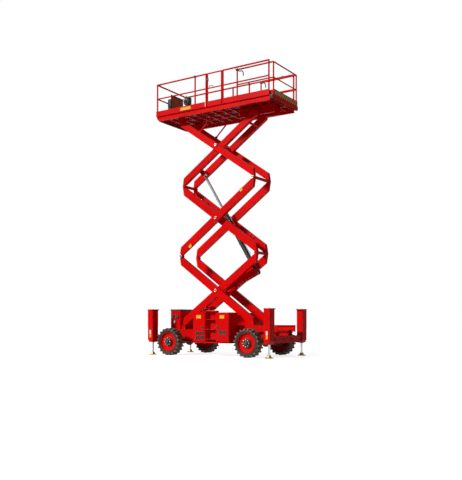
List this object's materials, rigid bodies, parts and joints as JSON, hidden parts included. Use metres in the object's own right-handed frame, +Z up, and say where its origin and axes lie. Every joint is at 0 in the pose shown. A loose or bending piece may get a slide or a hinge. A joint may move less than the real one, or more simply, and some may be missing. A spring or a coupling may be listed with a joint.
{
  "type": "aerial work platform",
  "caption": "Rough terrain scissor lift with a railed work platform, extension deck, lift cylinder, outriggers and steered wheels.",
  "frame": {"origin": "on the ground under the middle of the machine's box", "axes": "+X along the machine towards the steered end, +Y across it to the engine side, +Z up"},
  "size_m": [4.5, 2.29, 8.6316],
  "materials": {
    "red_paint": "gloss",
    "axle_black": "satin",
    "cylinder_black": "satin",
    "tyre": "matte",
    "rod_chrome": "polished",
    "roller_steel": "satin",
    "deck_aluminium": "chequered",
    "black_plastic": "matte"
  },
  "bodies": {
    "chassis": {"chassis_frame": "red_paint", "fixed_axle": "axle_black", "steered_axle": "axle_black", "side_hoods": "red_paint", "engine_hood": "red_paint", "engine_block": "axle_black", "ladder": "red_paint", "end_box": "red_paint", "end_lamps": "black_plastic", "outrigger_frame_left": "red_paint", "outrigger_frame_right": "red_paint"},
    "end_box_lid": {"end_box_lid": "black_plastic"},
    "tank_door": {"tank_door": "red_paint", "tank_door_vents": "black_plastic"},
    "battery_door": {"battery_door": "red_paint"},
    "engine_door": {"engine_door": "red_paint"},
    "knuckle_near": {"knuckle_near": "axle_black"},
    "knuckle_far": {"knuckle_far": "axle_black"},
    "inner_arms_1": {"inner_arms_1": "red_paint"},
    "outer_arms_1": {"outer_arms_1": "red_paint", "lower_rollers": "roller_steel"},
    "outer_arms_2": {"outer_arms_2": "red_paint"},
    "inner_arms_2": {"inner_arms_2": "red_paint"},
    "outer_arms_3": {"outer_arms_3": "red_paint"},
    "inner_arms_3": {"inner_arms_3": "red_paint", "upper_rollers": "roller_steel"},
    "deck_props": {"deck_props": "red_paint"},
    "cylinder_barrel": {"cylinder_barrel": "cylinder_black"},
    "cylinder_rod": {"cylinder_rod": "rod_chrome"},
    "platform": {"platform_frame": "red_paint", "platform_ribs": "red_paint", "platform_tracks": "red_paint", "deck": "deck_aluminium", "toe_boards": "red_paint", "guard_rails_near": "red_paint", "guard_rails_far": "red_paint", "guard_rails_end": "red_paint", "control_box": "black_plastic", "end_panel": "black_plastic"},
    "gate": {"gate": "red_paint"},
    "extension": {"extension_deck": "deck_aluminium", "extension_rails": "red_paint", "extension_toe_boards": "red_paint"},
    "wheel_fixed_near": {"tyre_fixed_near": "tyre", "rim_fixed_near": "red_paint", "hub_fixed_near": "axle_black"},
    "wheel_fixed_far": {"tyre_fixed_far": "tyre", "rim_fixed_far": "red_paint", "hub_fixed_far": "axle_black"},
    "wheel_steered_near": {"tyre_steered_near": "tyre", "rim_steered_near": "red_paint", "hub_steered_near": "axle_black"},
    "wheel_steered_far": {"tyre_steered_far": "tyre", "rim_steered_far": "red_paint", "hub_steered_far": "axle_black"},
    "leg_left_near": {"leg_left_near": "rod_chrome"},
    "leg_left_far": {"leg_left_far": "rod_chrome"},
    "leg_right_near": {"leg_right_near": "rod_chrome"},
    "leg_right_far": {"leg_right_far": "rod_chrome"}
  },
  "joints": [
    {"name": "lift", "type": "hinge", "parent": "chassis", "child": "inner_arms_1", "pos_m": [-1.392, 0, 0.8825], "axis": [0, -1, 0], "range_deg": [-35, 16]},
    {"name": "cross_1", "type": "hinge", "parent": "inner_arms_1", "child": "outer_arms_1", "pos_m": [-0.05908, 0, 2.00095], "axis": [0, -1, 0], "range_deg": [-32.5, 70.5]},
    {"name": "knee_1", "type": "hinge", "parent": "outer_arms_1", "child": "outer_arms_2", "pos_m": [-1.392, 0, 3.1194], "axis": [0, -1, 0], "range_deg": [-70.5, 32.5]},
    {"name": "cross_2", "type": "hinge", "parent": "outer_arms_2", "child": "inner_arms_2", "pos_m": [-0.05908, 0, 4.23785], "axis": [0, -1, 0], "range_deg": [-32.5, 70.5]},
    {"name": "knee_2", "type": "hinge", "parent": "outer_arms_2", "child": "outer_arms_3", "pos_m": [1.27383, 0, 5.3563], "axis": [0, -1, 0], "range_deg": [-32.5, 70.5]},
    {"name": "cross_3", "type": "hinge", "parent": "outer_arms_3", "child": "inner_arms_3", "pos_m": [-0.05908, 0, 6.47475], "axis": [0, -1, 0], "range_deg": [-70.5, 32.5]},
    {"name": "platform_level", "type": "hinge", "parent": "outer_arms_3", "child": "platform", "pos_m": [-1.36934, 0, 7.3226], "axis": [0, -1, 0], "range_deg": [-35.5, 16.5]},
    {"name": "prop_fold", "type": "hinge", "parent": "outer_arms_3", "child": "deck_props", "pos_m": [-0.6697, 0, 6.99855], "axis": [0, -1, 0], "range_deg": [-77.85, 35.86]},
    {"name": "cylinder_swing", "type": "hinge", "parent": "inner_arms_1", "child": "cylinder_barrel", "pos_m": [1.118, 0, 2.554], "axis": [0, -1, 0], "range_deg": [-33.3, 72.25]},
    {"name": "rod_stroke", "type": "slide", "parent": "cylinder_barrel", "child": "cylinder_rod", "axis": [-0.5228, 0, 0.8524], "range_m": [-1.441, 0.661]},
    {"name": "steer_near", "type": "hinge", "parent": "chassis", "child": "knuckle_near", "pos_m": [1.43, -0.76, 0.4225], "axis": [0, 0, 1], "range_deg": [-30, 30]},
    {"name": "steer_far", "type": "hinge", "parent": "chassis", "child": "knuckle_far", "pos_m": [1.43, 0.76, 0.4225], "axis": [0, 0, 1], "range_deg": [-30, 30]},
    {"name": "spin_fixed_near", "type": "hinge", "parent": "chassis", "child": "wheel_fixed_near", "pos_m": [-1.43, -0.9925, 0.4225], "axis": [0, 1, 0], "continuous": true},
    {"name": "spin_fixed_far", "type": "hinge", "parent": "chassis", "child": "wheel_fixed_far", "pos_m": [-1.43, 0.9925, 0.4225], "axis": [0, 1, 0], "continuous": true},
    {"name": "spin_steered_near", "type": "hinge", "parent": "knuckle_near", "child": "wheel_steered_near", "pos_m": [1.43, -0.9925, 0.4225], "axis": [0, 1, 0], "continuous": true},
    {"name": "spin_steered_far", "type": "hinge", "parent": "knuckle_far", "child": "wheel_steered_far", "pos_m": [1.43, 0.9925, 0.4225], "axis": [0, 1, 0], "continuous": true},
    {"name": "outrigger_left_near", "type": "slide", "parent": "chassis", "child": "leg_left_near", "axis": [0, 0, 1], "range_m": [-0.2, 0.25]},
    {"name": "outrigger_left_far", "type": "slide", "parent": "chassis", "child": "leg_left_far", "axis": [0, 0, 1], "range_m": [-0.2, 0.25]},
    {"name": "outrigger_right_near", "type": "slide", "parent": "chassis", "child": "leg_right_near", "axis": [0, 0, 1], "range_m": [-0.2, 0.25]},
    {"name": "outrigger_right_far", "type": "slide", "parent": "chassis", "child": "leg_right_far", "axis": [0, 0, 1], "range_m": [-0.2, 0.25]},
    {"name": "tank_door", "type": "hinge", "parent": "chassis", "child": "tank_door", "pos_m": [-0.506, -1.0514, 0.88], "axis": [0, 0, -1], "range_deg": [0, 90]},
    {"name": "battery_door", "type": "hinge", "parent": "chassis", "child": "battery_door", "pos_m": [0.776, -1.0514, 0.88], "axis": [0, 0, 1], "range_deg": [0, 90]},
    {"name": "engine_door", "type": "hinge", "parent": "chassis", "child": "engine_door", "pos_m": [0.135, 1.0514, 1.306], "axis": [1, 0, 0], "range_deg": [0, 80]},
    {"name": "end_box_lid", "type": "hinge", "parent": "chassis", "child": "end_box_lid", "pos_m": [-1.868, 0, 1.4125], "axis": [0, -1, 0], "range_deg": [0, 80]},
    {"name": "gate", "type": "hinge", "parent": "platform", "child": "gate", "pos_m": [0.329, -0.7556, 8.2], "axis": [0, 0, -1], "range_deg": [0, 90]},
    {"name": "extension", "type": "slide", "parent": "platform", "child": "extension", "axis": [1, 0, 0], "range_m": [0, 1]}
  ],
  "couplings": [
    {"joint": "cross_1", "follows": "lift", "ratio": -2},
    {"joint": "knee_1", "follows": "lift", "ratio": 2},
    {"joint": "cross_2", "follows": "lift", "ratio": -2},
    {"joint": "knee_2", "follows": "lift", "ratio": -2},
    {"joint": "cross_3", "follows": "lift", "ratio": 2},
    {"joint": "platform_level", "follows": "lift", "ratio": 1},
    {"joint": "prop_fold", "follows": "lift", "ratio": 2.21},
    {"joint": "cylinder_swing", "follows": "lift", "ratio": -2.05},
    {"joint": "rod_stroke", "follows": "lift", "m_per_rad": 2.35},
    {"joint": "steer_far", "follows": "steer_near", "ratio": 1}
  ]
}
